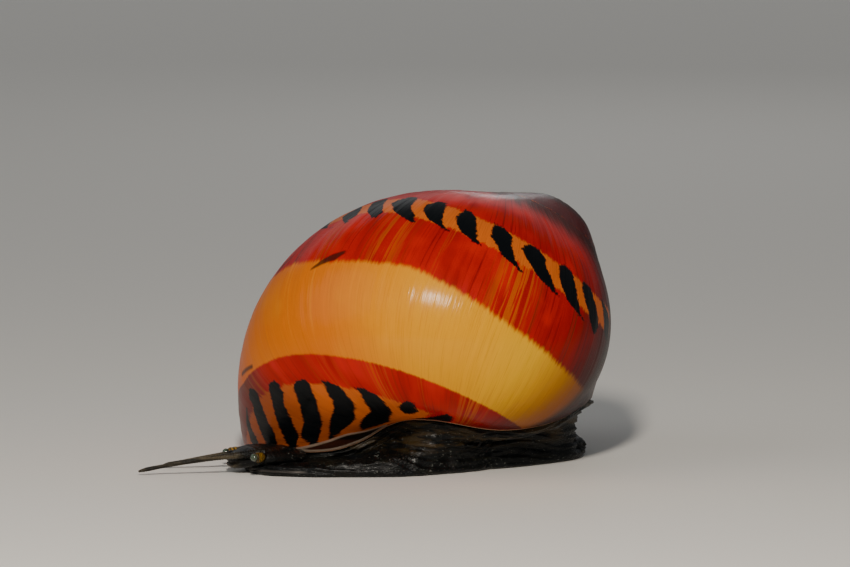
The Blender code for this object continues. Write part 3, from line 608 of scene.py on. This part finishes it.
def body_rings():
    """The trunk as rings round the centre: each direction's profile runs from inside the shell out over the
    mantle's edge, down the flank or into the slot that holds the operculum, over the margin and under the sole."""
    around = np.linspace(0, 2 * math.pi, SKIN_AROUND, endpoint=False)
    rim = compass(RIM_HEIGHT, around)
    out = level_radius(around, rim, axes)
    sole = compass(SOLE_RADIUS, around) + 0.06 * wander(around, 3, 14, 9)
    top = np.minimum(0.5 * rim + 0.1, 1.5)
    middle, half = sum(REAR_OPEN) / 2, (REAR_OPEN[1] - REAR_OPEN[0]) / 2
    from_rear = np.abs((np.degrees(around) - middle + 180) % 360 - 180)
    slot = 1 - smooth_step((from_rear - half) / REAR_FADE)
    roll = np.minimum(0.42, 0.3 * rim)
    side = np.minimum(0.97 * sole, out - 0.55) * (1 - slot) + 5.0 * slot
    tail_top = top * (1 - slot) + 1.52 * slot
    profile = np.array([
        (out - 1.25, rim + 1.5), (out - 0.95, rim + 0.8), (out - 0.62, rim + 0.3), (out - 0.4, rim + 0.02),
        (out - 0.2, rim - 0.45 * roll), (out - 0.32, rim - roll),
        ((out - 0.5) * (1 - slot) + 5.2 * slot, (rim - 1.4 * roll) * (1 - slot) + np.maximum(2.36, rim - 1.1) * slot),
        (side, (0.5 * (rim - 1.4 * roll) + 0.5 * tail_top) * (1 - slot) + 1.95 * slot),
        (0.65 * side + 0.35 * (sole - 0.35), tail_top),
        (sole - 0.35, 0.5 * tail_top + 0.2), (sole, np.full_like(sole, 0.24)), (sole - 0.12, np.full_like(sole, 0.02))])
    rows = np.linspace(0, len(profile) - 1, SKIN_ROWS)
    table = np.concatenate([np.arange(len(profile))[:, None], profile.reshape(len(profile), -1)], 1)
    both = stations(table, rows).reshape(SKIN_ROWS, 2, SKIN_AROUND)
    radius, height = both[:, 0], both[:, 1]
    step = np.hypot(np.diff(radius, axis=0), np.diff(height, axis=0))
    run = np.concatenate([np.zeros((1, SKIN_AROUND)), np.cumsum(step, 0)])
    tangent_r, tangent_z = np.gradient(radius, axis=0), np.gradient(height, axis=0)
    size = np.hypot(tangent_r, tangent_z) + 1e-9
    free = smooth_step((rows[:, None] - 3.6) / 0.8) * smooth_step((10.6 - rows[:, None]) / 1.2)
    phase = run / FOLD_PITCH + 0.35 * wander(around, 11, 8, 3)
    fold = np.sin(2 * math.pi * phase) * (0.75 + 0.35 * wander(around, 12, 10, 5))
    fold += 0.45 * np.sin(2 * math.pi * (2.3 * run / FOLD_PITCH + 0.6 * wander(around, 13, 12, 6)))
    fold += 0.3 * np.sin(34 * around + 3 * wander(around, 14, 9, 7) + 2 * run) * smooth_step((rows[:, None] - 7.5) / 2)
    push = FOLD_DEPTH * fold * free
    radius, height = radius - push * tangent_z / size, height + push * tangent_r / size
    height = np.maximum(height, 0.02)
    flesh = [ring(around, r, h) for r, h in zip(radius, height)]
    flesh += [ring(around, (sole - 0.2) * share, np.zeros_like(sole)) for share in (1.0, 0.8, 0.5, 0.25)]
    return np.array(flesh)


def head_place(along, sideways, height):
    """Points in the head's frame: along is towards the muzzle, sideways towards the animal's left."""
    return np.stack([HEAD_BACK[0] - along, HEAD_BACK[1] - sideways, height + 0 * along], -1)


def head_rings():
    """The head and muzzle as upright ovals carried forwards, with the mouth pressed in across the muzzle's front
    between two lips, and shallow wrinkles across the brow."""
    along = -1.2 + (HEAD_LENGTH + 1.2) * np.sin(np.linspace(0, math.pi / 2, 90))
    half, under, top = stations(HEAD_FORM, along).T[:, :, None]
    t = np.linspace(0, 2 * math.pi, 120, endpoint=False)
    middle = under + (top - under) * 0.42
    lift = np.where(np.sin(t) > 0, top - middle, middle - under)
    side = half * np.sign(np.cos(t)) * np.abs(np.cos(t)) ** 0.8
    height = middle + lift * np.sign(np.sin(t)) * np.abs(np.sin(t)) ** 0.85
    ahead = along[:, None] + 0 * side
    front = smooth_step((ahead - 2.55) / 0.5)
    groove = np.exp(-(((height - MOUTH_HEIGHT - 0.05 * (side / 0.8) ** 2) / 0.055) ** 2))
    lips = np.exp(-(((np.abs(height - MOUTH_HEIGHT) - 0.15) / 0.08) ** 2))
    ahead = ahead - front * (0.16 * groove - 0.05 * lips)
    brow = 0.022 * np.sin(17 * ahead + 2.2 * side) * smooth_step(np.sin(t)) * (1 - front)
    return head_place(ahead, side, height + brow)


def tube_rings(route, widths, around=28):
    """Round rings square to a route: the route's tangent crossed with the upright gives each ring's own axes."""
    tangent = np.gradient(route, axis=0)
    tangent /= np.linalg.norm(tangent, axis=1)[:, None]
    sideways = np.cross(tangent, (0.0, 0.0, 1.0))
    sideways /= np.linalg.norm(sideways, axis=1)[:, None]
    upwards = np.cross(sideways, tangent)
    t = np.linspace(0, 2 * math.pi, around, endpoint=False)[None, :, None]
    return route[:, None] + widths[:, None, None] / 2 * (np.cos(t) * sideways[:, None] + np.sin(t) * upwards[:, None])


def feeler_rings(hand):
    """A feeler from inside the head to its tip: it thins quickly, droops a little and carries fine rings."""
    root_height, run_x, run_y, tip_height, fall = FEELER_RUN[hand]
    root = head_place(np.array(FEELER_ROOT[0]), hand * FEELER_ROOT[1], root_height)
    u = np.linspace(-0.08, 1, 420)
    forward = np.clip(u, 0, 1)
    height = tip_height + (root[2] - tip_height) * (1 - forward) ** fall
    bend = 0.16 * np.sin(2 * math.pi * forward * 0.9) * forward
    length = math.hypot(run_x, run_y)
    route = np.stack([root[0] + u * run_x - bend * run_y / length, root[1] + u * run_y + bend * run_x / length,
                      height + 0.05 * np.sin(5 * forward)], -1)
    widths = stations(FEELER_WIDTHS, u)[:, 0]
    rings = 1 + 0.055 * np.cos(2 * math.pi * FEELER_RINGS * forward)
    return tube_rings(route, widths * rings)


def stalk_rings(hand):
    """A short thick stalk from the side of the head, closing round the back of the eye like a cup."""
    route = stations([(i, *p) for i, p in enumerate(STALK_ROUTE)], np.linspace(0, 2, 60))
    placed = head_place(route[:, 0], hand * route[:, 1], route[:, 2 if hand == 1 else 3])
    u = np.linspace(0, 1, 60)
    widths = 0.62 - 0.1 * u + 0.02 * np.sin(26 * u) * smooth_step(u * 3)
    widths = widths * np.sqrt(np.clip(1 - np.clip((u - 0.86) / 0.15, 0, 1) ** 2, 0.02, 1))
    return tube_rings(placed, widths)


skin = closed_mesh("skin", body_rings())
limbs = bpy.data.collections.new("limbs")
bpy.context.scene.collection.children.link(limbs)
for name, rings in (("head_form", head_rings()), ("feeler_form_left", feeler_rings(1)),
                    ("feeler_form_right", feeler_rings(-1)), ("stalk_form_left", stalk_rings(1)),
                    ("stalk_form_right", stalk_rings(-1))):
    form = closed_mesh(name, rings)
    bpy.context.scene.collection.objects.unlink(form)
    limbs.objects.link(form)
for form in (skin, *limbs.objects):
    shaped = bmesh.new()
    shaped.from_mesh(form.data)
    bmesh.ops.recalc_face_normals(shaped, faces=shaped.faces)
    shaped.to_mesh(form.data)
    shaped.free()
union = skin.modifiers.new("one_skin", "BOOLEAN")
union.operation = "UNION"
union.operand_type = "COLLECTION"
union.collection = limbs
union.solver = "MANIFOLD"
merged = bpy.data.meshes.new_from_object(skin.evaluated_get(bpy.context.evaluated_depsgraph_get()))
skin.modifiers.clear()
skin.data = merged
merged.materials.clear()
merged.polygons.foreach_set("material_index", np.zeros(len(merged.polygons), np.int32))
merged.shade_smooth()
for form in list(limbs.objects):
    bpy.data.objects.remove(form)
bpy.data.collections.remove(limbs)

# Wet muscle under clear slime: nearly black, with small soft glints on the folds and grey-brown horn on the feelers.
hide, tree, shader = new_material("wet_mollusc_skin", 0.42, 1.38, Specular_IOR_Level=0.3, Coat_Weight=0.13,
                                  Coat_Roughness=0.2, Coat_IOR=1.33)
spot = add(tree, "ShaderNodeTexCoord", None, None, "Object")
# Grains a mm, how far they are drawn out level, detail, seed
SKIN_GRAINS = {"streaky": (2.6, 5.0, 3, 2.0), "blotchy": (0.8, 2.0, 3, 9.0), "grain_and_glints": (9.0, 1.6, 2, 5.0)}
noise = {}
for name, (per_mm, stretch, detail, seed) in SKIN_GRAINS.items():
    drawn = add(tree, "ShaderNodeVectorMath", TIMES_PLUS, {
        0: spot, 1: (per_mm / MM / stretch, per_mm / MM / stretch, per_mm / MM), 2: (seed, seed, seed)})
    noise[name] = add(tree, "ShaderNodeTexNoise", None, {"Vector": drawn, "Scale": 1.0, "Detail": detail,
                                                         "Roughness": 0.6})
spot_mm = add(tree, "ShaderNodeVectorMath", {"operation": "SCALE"}, {0: spot, "Scale": 1 / MM})
x, y, z = (add(tree, "ShaderNodeSeparateXYZ", None, {0: spot_mm}, n) for n in range(3))
# Shares of places: the olive fold under the lip, the pale edge of the foot's front, the feelers, the eye stalks
fold = add(tree, "ShaderNodeMath", TIMES, {
    0: add(tree, "ShaderNodeMapRange", EASED, {"Value": z, "From Min": 1.0, "From Max": 1.7}),
    1: add(tree, "ShaderNodeMapRange", EASED, {"Value": noise["streaky"], "From Min": 0.42, "From Max": 0.6})})
front_edge = add(tree, "ShaderNodeMath", TIMES, {
    0: add(tree, "ShaderNodeMapRange", EASED, {"Value": add(tree, "ShaderNodeMath", {"operation": "COMPARE"},
                                                            {0: z, 1: 0.3, 2: 0.06}), "From Min": 0, "From Max": 1}),
    1: add(tree, "ShaderNodeMapRange", EASED, {"Value": x, "From Min": -8.0, "From Max": -9.0})})
mirrored = add(tree, "ShaderNodeCombineXYZ", None, {
    0: x, 1: add(tree, "ShaderNodeMath", {"operation": "ABSOLUTE"},
                 {0: add(tree, "ShaderNodeMath", {"operation": "SUBTRACT"}, {0: y, 1: float(HEAD_BACK[1])})}), 2: z})
from_stalk = add(tree, "ShaderNodeVectorMath", {"operation": "DISTANCE"}, {
    0: mirrored, 1: (float(HEAD_BACK[0]) - 2.05, 2.1, 1.15)}, "Value")
stripes = add(tree, "ShaderNodeMath", {"operation": "SINE"},
              {0: add(tree, "ShaderNodeMath", TIMES, {0: x, 1: 40.0})})
feeler = coats(tree, colour("#1E1B15"), ((noise["streaky"], 0.4, 0.65, 1.0, "#4E4534"),))
stalk = coats(tree, colour("#9C7420"), ((stripes, -0.3, 0.5, 0.9, "#241D0A"),))
flesh = coats(tree, colour("#0A0B0A"), (
    (noise["streaky"], 0.52, 0.7, 0.7, "#1C1B12"),
    (noise["blotchy"], 0.5, 0.7, 0.5, "#0B1218"),
    (fold, 0.0, 1.0, 0.7, "#3E3018"),
    # Painted highlights: pale grey specks on the grain stand in for tiny glints on the wet skin
    (noise["grain_and_glints"], 0.63, 0.73, 0.4, "#8C8F86"),
    (front_edge, 0.0, 1.0, 0.6, "#77706A"),
    (x, -8.6, -9.4, 0.7, "#070807"),
    (x, -11.3, -12.0, 1.0, feeler),
    (from_stalk, 0.5, 0.3, 0.9, stalk),
))
tree.links.new(flesh, shader.inputs["Base Color"])
wrinkles = add(tree, "ShaderNodeMath", TIMES_PLUS, {0: noise["streaky"], 1: 2.0, 2: noise["grain_and_glints"]})
bump = add(tree, "ShaderNodeBump", None, {"Height": wrinkles, "Strength": 0.8, "Distance": 0.07 * MM})
tree.links.new(bump, shader.inputs["Normal"])
skin.data.materials.append(hide)
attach(skin, "root")
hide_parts("mantle", "foot", "tail", "head", "snout", "eye_stalk_left", "eye_stalk_right",
            *[f"feeler_{hand}_{n}" for hand in ("left", "right") for n in (1, 2, 3)])

# Eyes.
# A small glassy ball at the end of each stalk, dark inside, its clear front grey-green, half sunk in the flesh.
vitreous, tree, shader = new_material("clear_cornea_over_retina", 0.08, 1.38, Coat_Weight=1.0, Coat_Roughness=0.03)
for hand_name, hand in (("left", 1), ("right", -1)):
    t = np.linspace(0, 2 * math.pi, 48, endpoint=False)
    down = np.linspace(math.pi - 0.04, 0.04, 30)
    middle = head_place(np.array(EYE_PLACE[0]), hand * EYE_PLACE[1], EYE_PLACE[2][hand])
    ball = np.stack([np.sin(down)[:, None] * np.cos(t), np.sin(down)[:, None] * np.sin(t),
                     np.cos(down)[:, None] + 0 * t], -1)
    eye = closed_mesh("eyeball_" + hand_name, middle + EYE_RADIUS * ball)
    eye.data.materials.append(vitreous)
    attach(eye, "root")
    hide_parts("eye_" + hand_name)
shader.inputs["Base Color"].default_value = colour("#3C4A38")

# Operculum.
# The door that shuts the shell: a half-moon plate of shelly matter on the tail's back, laid down in curved lines
# about a corner, with a raised smooth rim, dark red-brown and dull beside the shell.
LID_PLACE = np.array((7.4, 0.3, 1.6))
LID_HALF_LENGTH = 2.8
LID_REAR, LID_FRONT = 2.3, 1.9
LID_THICK = 0.55


def lid_rings():
    """The plate as closed rings from the middle of its under side, round its edge, to the middle of its top."""
    t = np.linspace(0, 2 * math.pi, 160, endpoint=False)
    depth = np.where(np.cos(t) > 0, LID_REAR, LID_FRONT)
    rows = [(0.3, 0.0), (0.6, 0.0), (0.9, 0.02), (0.98, 0.12), (1.0, 0.26), (0.985, 0.38), (0.95, 0.45)]
    rows += [(share, 0.45 + 0.1 * math.cos(share / 0.95 * math.pi / 2)) for share in np.linspace(0.92, 0.05, 30)]
    rings = []
    for share, height in rows:
        ripple = 0.012 * math.cos(share * 60) if height > 0.44 else 0.0
        rings.append(LID_PLACE + np.stack([depth * share * np.cos(t), LID_HALF_LENGTH * share * np.sin(t),
                                           np.full_like(t, min(height + ripple, LID_THICK))], -1))
    return np.array(rings)


lid = closed_mesh("operculum_plate", lid_rings())
plate, tree, shader = new_material("conchiolin_coated_aragonite", 0.42, 1.55, Coat_Weight=0.3, Coat_Roughness=0.25)
arcs = add(tree, "ShaderNodeTexWave", {"wave_type": "RINGS", "rings_direction": "SPHERICAL"}, {
    "Vector": add(tree, "ShaderNodeVectorMath", {"operation": "SUBTRACT"}, {
        0: add(tree, "ShaderNodeTexCoord", None, None, "Object"), 1: tuple((LID_PLACE + (-1.2, -2.6, 0)) * MM)}),
    "Scale": 0.35 / MM, "Distortion": 1.2, "Detail": 2.0}, "Fac")
tree.links.new(coats(tree, colour("#2A1512"), ((arcs, 0.0, 1.0, 1.0, "#5A3A2C"),)), shader.inputs["Base Color"])
bump = add(tree, "ShaderNodeBump", None, {"Height": arcs, "Strength": 0.4, "Distance": 0.03 * MM})
tree.links.new(bump, shader.inputs["Normal"])
lid.data.materials.append(plate)
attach(lid, "root")
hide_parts("operculum")
